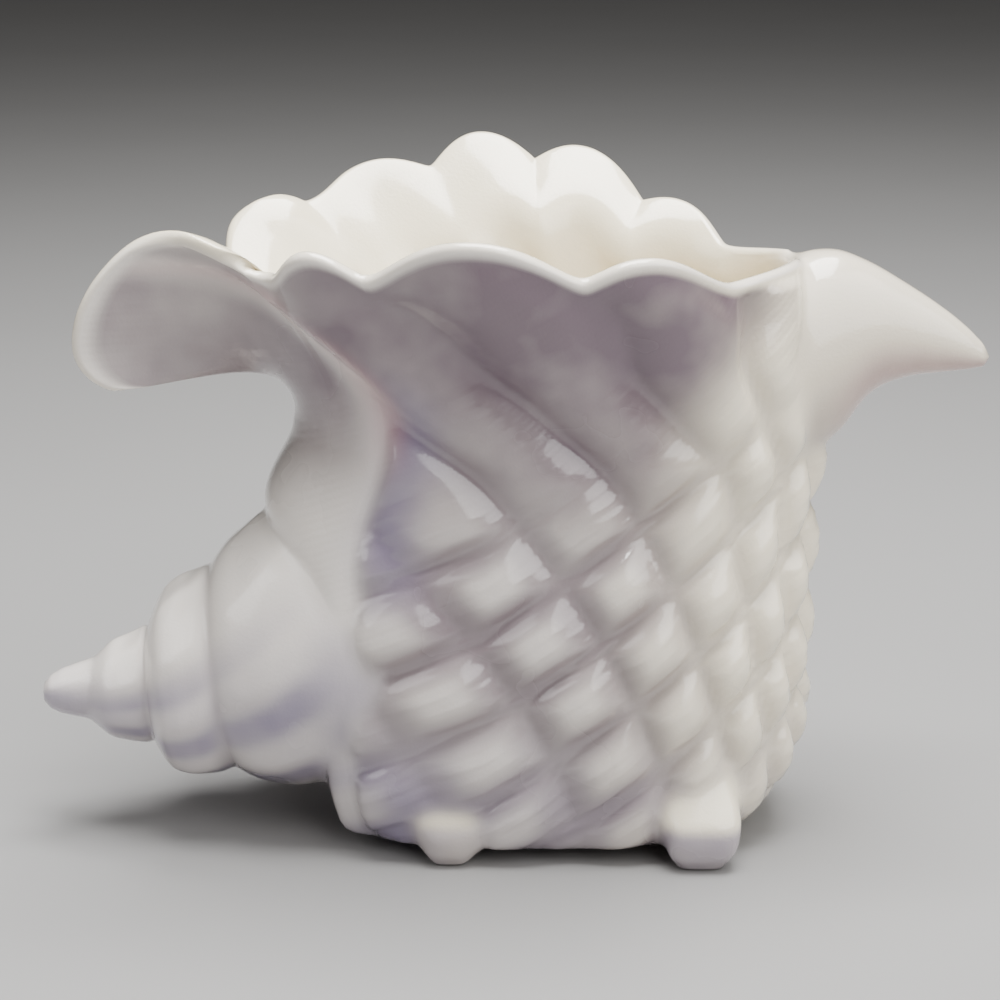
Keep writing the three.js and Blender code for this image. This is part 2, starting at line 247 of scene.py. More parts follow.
@dataclass(frozen=True)
class Lattice:
    """Pillows between ribs that fan up to the rim and cords that rise to the right."""

    rib: Curve = Curve(
        (0, 32, 52, 74, 99, 120, 141, 148, 162, 173, 190, 206),
        (92, 86, 79, 71, 60, 48, 33, 25, 10, -4, -20, -43),
    )
    pitch: Curve = Curve((0, 60, 100, 142, 170, 205), (24, 27, 33, 41, 53, 77))
    taper: float = 0.25
    cord_pitch: float = 30.3
    cord_slope: float = 0.68
    band: Curve = Curve(
        (0, 30, 58, 94, 127, 148, 165, 185, 200, 215),
        (211, 211, 211, 214, 215, 215, 214, 208, 200, 190),
    )
    height: Curve = Curve((0, 15, 40, 140, 170, 205), (1.8, 3.8, 5.2, 5.2, 4.8, 3.2))
    comb: float = 0.5
    soft: float = 0.06
    steep: float = 2.26

    def cells(self, body: BodySection, angle: Array, z: Array) -> dict[str, Array]:
        """Lattice coordinates of places on the wall; the back repeats the front.

        Ribs are numbered by 2 - ln(1 - taper d) / taper, d pitches from the leading rib, so they
        close up to the right. Cords are numbered by (z - slope s) / pitch, s the way round.

        Args:
            body: the plain section that the lattice lies on.
            angle: degrees round the mouth.
            z: height.

        Returns:
            rib and cord numbers, their distances to the nearest groove, the angle past the band,
            1 at the back, and the places along x and round the side.
        """
        f = np.where(angle < 180, 360 - angle, angle)
        x, y = body.reach(f, z)
        s = x + 0.62 * np.maximum(0, y - body.side("front", z)) * smooth(0, 60, x)
        away = (s - self.rib(z)) / self.pitch(z)
        rib = 2 - np.log(np.maximum(1 - self.taper * away, 0.05)) / self.taper
        rib = rib - 0.32 * smooth(45, 90, s) * smooth(100, 135, z)
        soft = np.where(s < -5, -5 + 0.63 * (s + 5), s)
        cord = (z - self.cord_slope * soft + 3) / self.cord_pitch
        return {
            "rib": rib,
            "cord": cord,
            "to_rib": rib - np.round(rib),
            "to_cord": cord - np.round(cord),
            "past": f - self.band(z),
            "back": smooth(0, 20, angle) * smooth(180, 165, angle),
            "x": x,
            "round": s,
        }

    def grooves(self, cells: dict[str, Array], z: Array) -> tuple[Array, Array]:
        """Rib and cord grooves as bells, 1 at the bottom of a groove."""
        wide = Curve((0, 140, 200), (0.2, 0.2, 0.24))(z)
        return bell(cells["to_rib"], wide), bell(cells["to_cord"], 0.22)

    def corded(self, cells: dict[str, Array], z: Array) -> Array:
        """Share of the cords, which end lower down at the left than at the right."""
        end = 124 + 30 * smooth(10, 75, cells["x"])
        return smooth(end + 16, end - 16, z)

    def hump(self, to_groove: Array) -> Array:
        """Hump 1 - |1 - steep e|^2.4 with e = sqrt(d^2 + soft^2) - soft, round at the foot."""
        rise = np.hypot(to_groove, self.soft) - self.soft
        return 1 - np.abs(1 - self.steep * rise) ** 2.4

    def relief(self, cells: dict[str, Array], z: Array, v: Array) -> Array:
        """Height of the outside over the plain wall.

        A pillow is the product of two humps, one across the ribs and one across the cords; high
        up only the ribs are left. Combed steps run along the cords, and beside the band there is
        a ridge low down and a furrow high up.

        Args:
            cells: lattice coordinates.
            z: height.
            v: share up the wall, where it fades out at the underside and the rim.

        Returns:
            Millimetres along the wall's normal.
        """
        low = self.corded(cells, z)
        right = smooth(78, 92, cells["round"])
        across = self.hump(cells["to_rib"])
        along = self.hump(cells["to_cord"])
        rib_share = 1 - 0.35 * smooth(10, -35, cells["x"]) * low
        pillow = (1 - rib_share * (1 - across)) * (1 - low * (1 - along))
        tall = self.height(z) + right * smooth(140, 190, z) * 1.6
        tall = tall * (1 - 0.55 * cells["back"] * smooth(150, 185, z))
        wander = 0.12 * np.sin(4.1 * cells["rib"] + 1.7 * cells["cord"])
        wander = wander + 0.08 * np.sin(9.3 * cells["rib"] - 2.9 * cells["cord"])
        wave = 5 * cells["cord"] + wander
        step = np.cos(2 * np.pi * wave) + 0.35 * np.cos(4 * np.pi * wave + 0.8)
        edge = 0.3 + 0.7 * smooth(0.3, 0.06, np.abs(cells["to_cord"]))
        fan = 0.16 - 0.12 * bell(cells["to_rib"], 0.2)
        uneven = 0.75 + 0.35 * np.sin(2.3 * cells["rib"] + 3.1 * cells["cord"])
        combed = self.comb * step * uneven * (low * edge + (1 - low) * fan)
        lattice = tall * (pillow - 0.52) + combed * smooth(208, 190, z)
        past = cells["past"]
        ridge = 1.6 * bell(past + 4.5, 3.2) * smooth(112, 90, z)
        furrow = 1.8 * bell(past - 1.5, 2.0) * smooth(178, 150, z)
        whole = smooth(0, 5, past) * lattice + ridge - furrow
        top = smooth(1.0, 0.93, v) * (1 - right) + smooth(1.0, 0.975, v) * right
        return whole * smooth(0, 0.04, v) * top


@dataclass(frozen=True)
class ShellWall:
    """The body's wall: u runs round the mouth, v from the underside's edge to the rim."""

    body: BodySection = BodySection()
    rim: ScallopedRim = ScallopedRim()
    lip: DrawnLip = DrawnLip()
    lattice: Lattice = Lattice()
    underside: float = 4.5
    base_round: float = 7.0
    thickness: float = 5.0

    def plain(self, u: Array, v: Array) -> Array:
        """The wall before the lip is drawn out.

        A quarter round leads from the underside to the wall, which follows the body's section up
        to the scalloped rim; flare and flutes push it out along the angle near the top.

        Args:
            u: share of the way round.
            v: share up the wall.

        Returns:
            Points.
        """
        angle = self.lip.angle(u)
        level = self.rim.level(angle)
        turn = np.clip(v / 0.05, 0, 1) * np.pi / 2
        share = np.clip((v - 0.05) / 0.95, 0, 1)
        z = self.underside + self.base_round * (1 - np.cos(turn))
        z = z + share * (level - self.underside - self.base_round)
        z = z + (self.rim.height(angle) - level) * smooth(0.72, 1.0, v)
        x, y = self.body.reach(angle, z, self.base_round * (1 - np.sin(turn)))
        back = smooth(0, 30, angle) * smooth(170, 150, angle)
        late = self.rim.turned_out(angle, v)
        early = smooth(0.78, 1.04, v) / smooth(0.78, 1.04, 1)
        flute = np.where(angle > 180, 5.0 * (angle > 205), 6 * smooth(150, 135, angle))
        out = self.rim.flare(angle) * (back * late + (1 - back) * early)
        out = out + (self.rim.arch(angle) - 0.6) * flute * smooth(0.72, 0.95, v)
        c, s = np.cos(np.radians(angle)), np.sin(np.radians(angle))
        return np.stack([x + c * out, y + s * out, z], -1)

    def drawn(self, u: Array, v: Array) -> Array:
        """The wall with its lip drawn out.

        Above the lip's start the left lines are cubic Bezier curves that leave the wall along
        its own slope and end square to the lip's edge.

        Args:
            u: share of the way round.
            v: share up the wall.

        Returns:
            Points.
        """
        u, v = np.broadcast_arrays(np.asarray(u, float), np.asarray(v, float))
        lip, start = self.lip, self.lip.start
        plain = self.plain(u, v)
        t = lip.share(u)
        edge = lip.outline(t)
        foot = self.plain(u, np.full_like(v, start))
        lean = (foot - self.plain(u, np.full_like(v, start - 1e-3))) * (1 - start) / 3e-3
        bend_z = edge[..., 2] - 5 + 9 * smooth(0.2, 0.35, t) * smooth(0.8, 0.65, t)
        bend_x, bend_y = self.body.reach(lip.angle(u), bend_z)
        bend = 0.34 * edge + 0.66 * np.stack([bend_x, bend_y, bend_z], -1)
        w = np.clip((v - start) / (1 - start), 0, 1)[..., None]
        drawn = (1 - w) ** 3 * foot + 3 * w * (1 - w) ** 2 * (foot + lean)
        drawn = drawn + 3 * w * w * (1 - w) * bend + w**3 * edge
        share = smooth(-0.001, 0.07, t) * smooth(-0.001, 0.07, 1 - t) * (v > start)
        return plain + (drawn - plain) * share[..., None]

    def frame(self, u: Array, v: Array) -> tuple[Array, Array, Array]:
        """The finished wall, let down near the top so that the rounded rim ends at the lip's edge.

        Args:
            u: share of the way round.
            v: share up the wall.

        Returns:
            Points, outward normals and the direction up the wall, from small steps in u and v.
        """
        step = 2e-3
        round_ = self.drawn((u + step) % 1, v) - self.drawn((u - step) % 1, v)
        up = self.drawn(u, np.minimum(v + step, 1)) - self.drawn(u, np.maximum(v - step, 0))
        normal, up = unit(np.cross(up, round_)), unit(up)
        down = self.thickness / 2 * smooth(0.88, 1, v + 0 * u)
        return self.drawn(u, v) - up * down[..., None], normal, up


@dataclass
class Shell:
    """Closed surface of stacked rings, with a value per vertex for each mask."""

    name: str
    skin: Array
    rings: Array
    start: Array
    end: Array
    masks: dict[str, Array] = field(default_factory=dict)

    def solid(self) -> bpy.types.Object:
        """Puts the rings into a mesh, with one vertex closing each end and faces outward.

        Returns:
            The object, in millimetres, with its masks as point attributes.
        """
        rows, lines = self.rings.shape[:2]
        points = np.vstack([self.rings.reshape(-1, 3), self.start[None], self.end[None]])
        row = np.arange(rows - 1)[:, None] * lines
        here = np.arange(lines)[None, :]
        there = (here + 1) % lines
        quads = np.stack(
            [row + here, row + there, row + lines + there, row + lines + here], -1
        ).reshape(-1, 4)
        pole = np.full(lines, rows * lines)
        last = (rows - 1) * lines
        caps = np.vstack(
            [
                np.stack([pole, there[0], here[0]], -1),
                np.stack([pole + 1, last + here[0], last + there[0]], -1),
            ]
        )
        a, b, c, d = (points[quads[:, i]] for i in range(4))
        volume = np.einsum("ij,ij->", a, np.cross(b, c)) + np.einsum("ij,ij->", a, np.cross(c, d))
        if volume < 0:
            quads, caps = quads[:, ::-1], caps[:, ::-1]
        mesh = bpy.data.meshes.new(self.name)
        mesh.from_pydata(points.tolist(), [], quads.tolist() + caps.tolist())
        self.write(mesh, "skin", self.skin)
        for name in MASKS:
            self.write(mesh, name, self.masks.get(name, np.zeros((rows, lines))))
        thing = bpy.data.objects.new(self.name, mesh)
        bpy.context.scene.collection.objects.link(thing)
        return thing

    def write(self, mesh: bpy.types.Mesh, name: str, values: Array) -> None:
        """Stores one value per vertex; the closing vertices take their ring's mean.

        Args:
            mesh: mesh of this shell.
            name: attribute's name.
            values: one value for each ring and line.
        """
        full = np.broadcast_to(values, self.rings.shape[:2])
        ends = [full[0].mean(), full[-1].mean()]
        data = np.concatenate([full.ravel(), ends]).astype(np.float32)
        mesh.attributes.new(name, "FLOAT", "POINT").data.foreach_set("value", data)


MASKS = ("cream", "mauve_and_shade", "lavender_and_shade", "blush_and_shade", "groove", "rib", "cord")


@dataclass(frozen=True)
class Cup:
    """Hollow body: underside, outer wall, rounded rim, inner wall and floor as one skin."""

    wall: ShellWall = ShellWall()
    lines: int = 400
    outer_rows: int = 160
    inner_rows: int = 34
    roll_rows: int = 7

    def outer_masks(self, v: Array, cells: dict[str, Array], at: Array) -> dict[str, Array]:
        """Where the colours lie on the outside: airbrushed tints, and painted shade in the grooves,
        on the upper front, low down and on the ear's neck.

        Args:
            v: share up the wall.
            cells: lattice coordinates.
            at: points of the wall.

        Returns:
            One array for each mask.
        """
        z = at[..., 2]
        x = cells["x"]
        past = cells["past"]
        on = smooth(0, 6, past)
        ribs, cords = self.wall.lattice.grooves(cells, z)
        low = self.wall.lattice.corded(cells, z)
        # Painted shade: the rib and cord grooves are darkened, less towards the lit right side.
        fade = 0.28 + 0.72 * smooth(100, 45, x)
        groove = on * fade * np.maximum(0.8 * ribs * smooth(0, 30, z), 0.9 * cords * low)
        # Painted shade on the upper front, where the flared wall faces down away from the light.
        side = 62 + 24 * smooth(150, 192, z)
        across = smooth(-85, -45, x) * smooth(side + 16, side - 16, x)
        upper = smooth(88, 142, z) * across * (0.72 + 0.28 * smooth(150, 185, z))
        # Mauve over the front and middle, partly a real tint and partly painted shade: lighter on
        # the pillow crowns that catch the light.
        crown = smooth(0.15, 0.42, np.abs(cells["to_rib"]))
        crown = crown * smooth(0.1, 0.4, np.abs(cells["to_cord"]))
        middle = (0.64 - 0.44 * crown) * smooth(5, 70, z) * smooth(84, 30, x)
        # Painted shade low on the body, lighter on the pillow crowns.
        foot = (0.55 - 0.3 * crown) * smooth(75, 20, z) * smooth(85, 45, x)
        edge = smooth(1.0, 0.985, v)
        streak = 0.8 * bell(past - 8, 8.0) * smooth(80, 115, z) * smooth(185, 150, z)
        # Painted shade in lavender low on the body's left, lighter on the pillow crowns.
        hem = smooth(66, 12, z) * (0.3 + 0.65 * smooth(15, -45, x)) * (1 - 0.5 * crown)
        touch = bell(past - 2.5, 4.0) * smooth(128, 160, z) * smooth(212, 203, z)
        # Mauve mask: the front's mauve tint together with the painted shade of the upper front, the
        # lower body and the ear's neck.
        mauve_and_shade = on * np.maximum(np.maximum(upper, middle), foot)
        # Painted shade on the ear's neck, left of the band under the drawn lip.
        neck = 0.8 * smooth(4, -8, past) * smooth(112, 168, z)
        warm = 0.75 * smooth(10, 85, x) * on
        return {
            "cream": warm,
            "mauve_and_shade": np.clip(np.maximum(mauve_and_shade, neck) * edge, 0, 1),
            "lavender_and_shade": np.clip(np.maximum(streak, hem), 0, 1) * edge,
            "blush_and_shade": touch * edge,
            "groove": groove * edge,
            "rib": cells["rib"],
            "cord": cells["cord"],
        }

    def shell(self) -> Shell:
        """Stacks the rings from the underside's middle, over the rim, to the floor's middle.

        The outer wall is the plain wall plus the lattice relief along the normal, the inner wall
        lies one thickness inside, and the rim is a half circle between the two.

        Returns:
            The closed surface.
        """
        wall = self.wall
        u = np.arange(self.lines)[None, :] / self.lines
        share = np.linspace(0, 1, self.outer_rows + 1)[1:, None]
        v_out = np.vstack(
            [np.linspace(0, 0.05, 6)[:, None], 0.05 + 0.95 * (1 - (1 - share) ** 1.12)]
        )
        here, normal, _ = wall.frame(u, v_out)
        cells = wall.lattice.cells(wall.body, wall.lip.angle(u) + 0 * v_out, here[..., 2])
        relief = wall.lattice.relief(cells, here[..., 2], v_out)
        outer = here + normal * relief[..., None]
        masks = self.outer_masks(v_out + 0 * u, cells, here)

        top, side, up = wall.frame(u, np.ones((1, 1)))
        turn = (np.arange(1, self.roll_rows + 1) / (self.roll_rows + 1) * np.pi)[:, None, None]
        half = wall.thickness / 2
        roll = top - side * half + (np.cos(turn) * side + np.sin(turn) * up) * half

        share = np.linspace(0, 1, self.inner_rows)[:, None]
        v_in = np.vstack([1 - 0.95 * share**1.2, np.array([[0.035], [0.02], [0.0]])])
        face, inward, _ = wall.frame(u, v_in)
        inner = face - inward * wall.thickness

        def middle(z: float) -> Array:
            """Middle of the underside at height z."""
            return np.array([(wall.body.left[0] + wall.body.right[0]) / 2, 0.0, z])

        def disc(edge: Array, z: float, shares: tuple[float, ...]) -> Array:
            """Rings between an edge and the middle."""
            centre = middle(z)
            return np.stack([centre + (edge - centre) * s for s in shares])

        under = disc(outer[0], wall.underside, (0.25, 0.5, 0.75, 0.93))
        floor = disc(inner[-1], wall.underside + wall.thickness, (0.93, 0.75, 0.5, 0.25))
        rings = np.concatenate([under, outer, roll, inner, floor])
        counts = (len(under), len(outer), len(roll), len(inner) + len(floor))
        inside = np.concatenate(
            [np.zeros(counts[0] + counts[1]), np.linspace(0.2, 1, counts[2]), np.ones(counts[3])]
        )[:, None]
        lower = np.zeros((counts[0], self.lines))
        upper = np.zeros((counts[2] + counts[3], self.lines))
        full = {k: np.concatenate([lower + m[0], m, 0 * upper]) for k, m in masks.items()}
        full["cream"] = np.maximum(full["cream"], inside)
        skin = np.where(np.arange(len(rings)) < counts[0] + counts[1], Skin.OUTSIDE, Skin.INSIDE)
        return Shell(
            "cup",
            skin[:, None].astype(float),
            rings,
            middle(wall.underside),
            middle(wall.underside + wall.thickness),
            full,
        )

    def room(self) -> Shell:
        """The plain space inside the wall, which trims whatever joins the wall from outside.

        Returns:
            Sections of the body a little inside the outer face, from near the floor upwards.
        """
        z = np.linspace(8.5, 240, 60)[:, None]
        angle = 360 * np.arange(160)[None, :] / 160
        x, y = self.wall.body.reach(angle + 0 * z, z + 0 * angle, 3.5)
        rings = np.stack([x, y, z + 0 * x], -1)
        start, end = np.array([20.0, 0, 8.5]), np.array([10.0, 0, 240.0])
        return Shell("room", np.array([[float(Skin.HOLLOW)]]), rings, start, end)


@dataclass(frozen=True)
class Spire:
    """Whorled cone at the left: upright rings along a rising axis, sheared back underneath."""

    tip: float = -161.5
    whorls: Curve = Curve(
        (0, 0.4, 1.6, 5.4, 10, 16, 18.3, 20.2, 24, 30, 35.6, 37.3, 38, 39.2, 41.8, 46.4, 53, 58,
         59.3, 61.5, 65.5, 71, 77, 84, 92, 112),
        (0, 2.5, 4.6, 7.4, 9, 10.8, 11.9, 13.4, 16.6, 18.9, 21.1, 21.9, 24.3, 27, 31.2, 34.7,
         36.5, 37.1, 37.4, 39.5, 43.2, 46.5, 49, 50.5, 51.5, 52),
    )  # fmt: skip
    axis_y: Curve = Curve(
        (0, 20, 34, 42, 53, 62, 71, 84, 112), (-12, -9.6, -7.9, -6.9, -5.6, -4.5, -3.4, -1.8, 0)
    )
    axis_z: Curve = Curve(
        (0, 20, 34, 42, 53, 62, 71, 84, 112), (50, 50.8, 51.2, 53.2, 55.2, 59, 61.6, 66.3, 67.5)
    )
    shear: Curve = Curve(
        (0, 30, 38, 47, 59, 66, 77, 92, 112), (0, 0, 3.2, 5.6, 9, 11.4, 14.2, 16.7, 17)
    )
    sutures: Knots = (17.5, 37.2, 58.8)
    length: float = 112.0
    knob: float = 1.5
    knob_count: int = 9
    knob_top: float = 62.0
    knob_wind: float = 0.0103
    rows: int = 124
    lines: int = 112

    def centre(self, d: Array | float) -> Array:
        """Points of the axis at distances from the tip along X."""
        d = np.asarray(d, float)
        return np.stack([self.tip + d, self.axis_y(d), self.axis_z(d)], -1)

    def knobs(self, d: Array, a: Array) -> Array:
        """Low knobs round each whorl that wind on from one whorl to the next.

        Args:
            d: distance from the tip.
            a: angle from the top towards the front.

        Returns:
            Millimetres to add to the radius, nothing at the sutures.
        """
        hump = np.abs(np.sin(np.pi * np.interp(d, (0, *self.sutures, 92), (0, 1, 2, 3, 4))))
        wave = 0.45 - np.abs(np.sin(self.knob_count / 2 * self.past_knob(d, a))) ** 1.2
        return self.knob * hump * wave * smooth(12, 45, d) * smooth(96, 84, d)

    def past_knob(self, d: Array, a: Array) -> Array:
        """Angle past a knob's top, which winds back by so many radians for each millimetre."""
        return a - np.radians(self.knob_top) + self.knob_wind * (d - 48)

    def shell(self, name: str, start: float, thinner: float, back: float, skin: Skin) -> Shell:
        """Rings from the start to the root; each leans so that its low side lies further back.

        Args:
            name: name of the shell.
            start: distance from the tip where it starts.
            thinner: taken off every radius.
            back: how far its whorls lie behind the outer ones.
            skin: which surface this is.

        Returns:
            The closed surface with its colour masks.
        """
        share = (np.arange(self.rows)[:, None] + 0.3) / (self.rows - 0.7)
        d = start + (self.length - start) * share**1.1
        a = 2 * np.pi * np.arange(self.lines)[None, :] / self.lines
        outside = float(skin == Skin.SPIRE)
        dips = sum(bell(d - s - 0.3, 2.4) * w for s, w in zip(self.sutures, (0.3, 0.7, 1.0)))
        r = self.whorls(d - back) - thinner + outside * (self.knobs(d, a) - 0.9 * dips)
        r = np.maximum(r, 0.25)
        lean = self.shear(d) * (1 - np.cos(a)) / 2
        offset = np.stack([lean, -r * np.sin(a), r * np.cos(a)], -1)
        rings = self.centre(d + 0 * a) + offset
        # Painted shade in lavender on the spire's underside and on the lower slope of each knob,
        # less at the sutures.
        below = smooth(0.8, -0.2, np.cos(a)) + 0 * d
        shade = smooth(-0.7, 1.0, np.cos(self.knob_count * (self.past_knob(d, a) - 0.3)))
        shade = 0.75 + (shade - 0.75) * smooth(12, 45, d) * smooth(100, 84, d)
        shade = shade * (1 - 0.5 * np.minimum(dips, 1))
        # Lavender mask of the spire: that painted shade, plus a real lavender tint towards the tip.
        shade_and_tip_tint = np.clip(below * (0.42 + 0.58 * shade) + 0.3 * smooth(30, 4, d), 0, 1)
        masks = {
            "lavender_and_shade": outside * shade_and_tip_tint,
            # Painted shade in the sutures between the whorls.
            "groove": outside * 0.45 * dips + 0 * below,
            "cream": 1 - outside + 0 * below,
        }
        ends = self.centre(start), self.centre(self.length)
        return Shell(name, np.array([[float(skin)]]), rings, *ends, masks)


@dataclass(frozen=True)
class Horn:
    """Horn lofted along X between a top line, a low line and a half width."""

    at: Knots
    top: Knots
    low: Knots
    half: Knots
    rows: int = 70
    lines: int = 72
    power: float = 2.3

    def shell(self, name: str, skin: Skin) -> Shell:
        """Superellipse rings, drawn in a little towards the top.

        Args:
            name: name of the shell.
            skin: which surface this is.

        Returns:
            The closed surface with its colour masks.
        """
        share = np.arange(self.rows)[:, None] / self.rows
        x = self.at[0] + (self.at[-1] - self.at[0]) * (1 - (1 - share) ** 1.4)
        a = 2 * np.pi * np.arange(self.lines)[None, :] / self.lines
        top, low = Curve(self.at, self.top)(x), Curve(self.at, self.low)(x)
        c, s = np.cos(a), np.sin(a)
        r = (np.abs(c) ** self.power + np.abs(s) ** self.power) ** (-1 / self.power)
        y = Curve(self.at, self.half)(x) * r * s * (1 - 0.22 * c)
        z = (top + low) / 2 + (top - low) / 2 * r * c
        rings = np.stack([x + 0 * y, y, z], -1)
        inside = float(skin == Skin.HOLLOW)
        # Painted shade on the beak: darker all over and more on the underside; the underside's
        # blush is partly its own pink and partly painted shade.
        below = smooth(0.1, -0.7, c) + 0 * x
        masks = {
            "blush_and_shade": 0.8 * below * smooth(105, 125, x) * (1 - inside),
            "mauve_and_shade": (0.18 + 0.3 * below) * (1 - inside),
            "cream": np.full_like(below, max(inside, 0.75)),
        }
        centre = [(self.top[i] + self.low[i]) / 2 for i in (0, -1)]
        ends = [np.array([self.at[i], 0.0, centre[i]]) for i in (0, -1)]
        return Shell(name, np.array([[float(skin)]]), rings, *ends, masks)


BEAK = Horn(
    (70, 98, 117, 126, 140, 150, 158, 164, 167.5, 169),
    (202, 204.5, 205.5, 202, 194, 187.5, 181.5, 176, 171.8, 168.5),
    (132, 133, 143, 155, 162, 163.3, 164, 164.8, 166, 168.3),
    (30, 27, 21, 17.5, 12.5, 9.6, 7.0, 4.6, 2.6, 0.05),
)
BEAK_HOLLOW = Horn(
    (78, 98, 117, 126, 138, 146, 150),
    (176, 186, 198, 196, 188, 182, 177),
    (146, 146, 151, 162, 169, 171, 176),
    (16, 16, 15, 12, 7, 4, 0.05),
    36,
    40,
)


@dataclass(frozen=True)
class Foot:
    """Rounded block on a flat pad, swelling upwards and leaning back into the wall."""

    x: float
    y: float
    half_x: float
    half_y: float
    at: Knots = (0, 0.5, 1.6, 6, 12, 17, 24, 32, 40, 48)
    grow: Knots = (-2.2, -0.9, 0, 3, 4.5, 4.8, 4, 2, -1, -5)
    lean: Knots = (0, 0, 0, 0, 0, 0.8, 5, 10, 15, 20)
    rows: int = 38
    lines: int = 56
    power: float = 4.0

    def shell(self) -> Shell:
        """Superellipse rings stacked by height.

        Returns:
            The closed surface with its colour masks.
        """
        share = np.linspace(0, 1, self.rows)[:, None]
        z = self.at[-1] * share**1.35
        a = 2 * np.pi * np.arange(self.lines)[None, :] / self.lines
        c, s = np.cos(a), np.sin(a)
        r = (np.abs(c) ** self.power + np.abs(s) ** self.power) ** (-1 / self.power)
        grow = Curve(self.at, self.grow)(z)
        x = self.x + (self.half_x + grow) * r * c
        y = self.y - np.sign(self.y) * Curve(self.at, self.lean)(z)
        y = y + (self.half_y + grow) * r * s
        rings = np.stack([x, y, z + 0 * x], -1)
        # Lavender on the lower part of each foot, towards the shelf.
        masks = {"lavender_and_shade": 0.8 * smooth(19, 13, z) + 0 * x, "cream": 0.8 + 0 * x}
        centre = np.array([self.x, self.y, 0.0])
        high = np.array([self.x, self.y - math.copysign(self.lean[-1], self.y), self.at[-1]])
        return Shell("foot", np.array([[float(Skin.FOOT)]]), rings, centre, high, masks)


@dataclass
class Casting:
    """One solid put together from shells, which keeps track of the corners that the joins make.

    The fold is the place inside the mouth where the drawn lip ends; fillets are radii by Skin.
    """

    thing: bpy.types.Object
    fold: tuple[float, float, float] = (-62.0, 43.0, 196.0)
    fillets: Knots = (0.0, 3.0, 3.0, 5.5, 7.0, 13.0, 4.0)

    def combine(self, shell: Shell | bpy.types.Object, operation: str) -> None:
        """Joins, cuts or trims this solid with another.

        Args:
            shell: what it is combined with; it is used up.
            operation: UNION or DIFFERENCE.
        """
        other = shell.solid() if isinstance(shell, Shell) else shell
        change = self.thing.modifiers.new(operation, "BOOLEAN")
        change.operation, change.solver, change.object = operation, "MANIFOLD", other
        depsgraph = bpy.context.evaluated_depsgraph_get()
        made = bpy.data.meshes.new_from_object(self.thing.evaluated_get(depsgraph))
        self.thing.modifiers.clear()
        old = self.thing.data
        self.thing.data = made
        bpy.data.meshes.remove(old)
        bpy.data.objects.remove(other)

    def tidy(self, closest: float = 0.35) -> None:
        """Merges corners of the joins that nearly touch and splits faces of many sides.

        Args:
            closest: corners nearer than this become one.
        """
        work = bmesh.new()
        work.from_mesh(self.thing.data)
        skin = work.verts.layers.float["skin"]
        corners = [v for v in work.verts if v[skin] < 0.5]
        touched = {n.index for v in corners for e in v.link_edges for n in e.verts}
        work.verts.ensure_lookup_table()
        near = [work.verts[i] for i in sorted(touched)]
        bmesh.ops.remove_doubles(work, verts=near, dist=closest)
        bmesh.ops.dissolve_degenerate(work, edges=work.edges, dist=1e-4)
        many = [f for f in work.faces if len(f.verts) > 4]
        bmesh.ops.triangulate(work, faces=many)
        open_edges = sum(not e.is_manifold for e in work.edges)
        work.to_mesh(self.thing.data)
        work.free()
        LOG.info("joins tidied, %d open edges", open_edges)

    def read(self, name: str) -> Array:
        """Reads the casting's vertices.

        Args:
            name: an attribute with one value per vertex, or "co" for the places.

        Returns:
            The values, or the places with one row per vertex.
        """
        mesh = self.thing.data
        width = 3 if name == "co" else 1
        data = np.empty(len(mesh.vertices) * width, np.float32)
        source = mesh.vertices if name == "co" else mesh.attributes[name].data
        source.foreach_get(name if name == "co" else "value", data)
        return data.reshape(-1, 3).astype(float) if width == 3 else data.astype(float)

    def soften(self, rounds: int = 40) -> None:
        """Fills the joins and the lip's inner fold as glaze would, and spreads the masks over them.

        Distance from a join runs along the edges; nearer than the join's own radius, each vertex
        moves towards the mean of its neighbours, less and less with distance.

        Args:
            rounds: how often the vertices move.
        """
        mesh = self.thing.data
        ends = np.empty(len(mesh.edges) * 2, np.int32)
        mesh.edges.foreach_get("vertices", ends)
        one, two = ends.reshape(-1, 2).T
        points, skin = self.read("co"), self.read("skin")
        count = len(points)
        degree = np.bincount(one, minlength=count) + np.bincount(two, minlength=count)

        def mean(values: Array) -> Array:
            """Mean over each vertex's neighbours."""
            total = np.bincount(one, values[two], count) + np.bincount(two, values[one], count)
            return total / np.maximum(degree, 1)

        length = np.linalg.norm(points[one] - points[two], axis=1)
        known = (skin > 0.5).astype(float)
        weight = np.maximum(mean(known), 1e-6)
        radius = np.array(self.fillets)[np.round(skin).astype(int)]
        away = np.where(known > 0.5, 1e3, 0.0)
        for _ in range(24):
            fresh = away.copy()
            np.minimum.at(fresh, one, away[two] + length)
            np.minimum.at(fresh, two, away[one] + length)
            away = fresh
        for _ in range(10):
            radius = np.where(away < 15, np.maximum(radius, mean(radius)), radius)
        pull = 0.55 * smooth(1.0, 0.0, away / np.maximum(radius, 1e-3))
        fold = np.linalg.norm(points - np.array(self.fold), axis=1)
        pull = np.maximum(pull, 0.5 * smooth(24, 8, fold) * (np.round(skin) == Skin.INSIDE))
        for _ in range(rounds):
            for axis in range(3):
                points[:, axis] += pull * (mean(points[:, axis]) - points[:, axis])
        mesh.vertices.foreach_set("co", points.astype(np.float32).ravel())
        for name in MASKS:
            values = self.read(name)
            values = np.where(known > 0.5, values, mean(values * known) / weight)
            if name not in ("rib", "cord"):
                blend = smooth(1.0, 0.0, away / 7.0)
                for _ in range(12):
                    values = values + blend * 0.5 * (mean(values) - values)
            mesh.attributes[name].data.foreach_set("value", values.astype(np.float32))
        mesh.update()


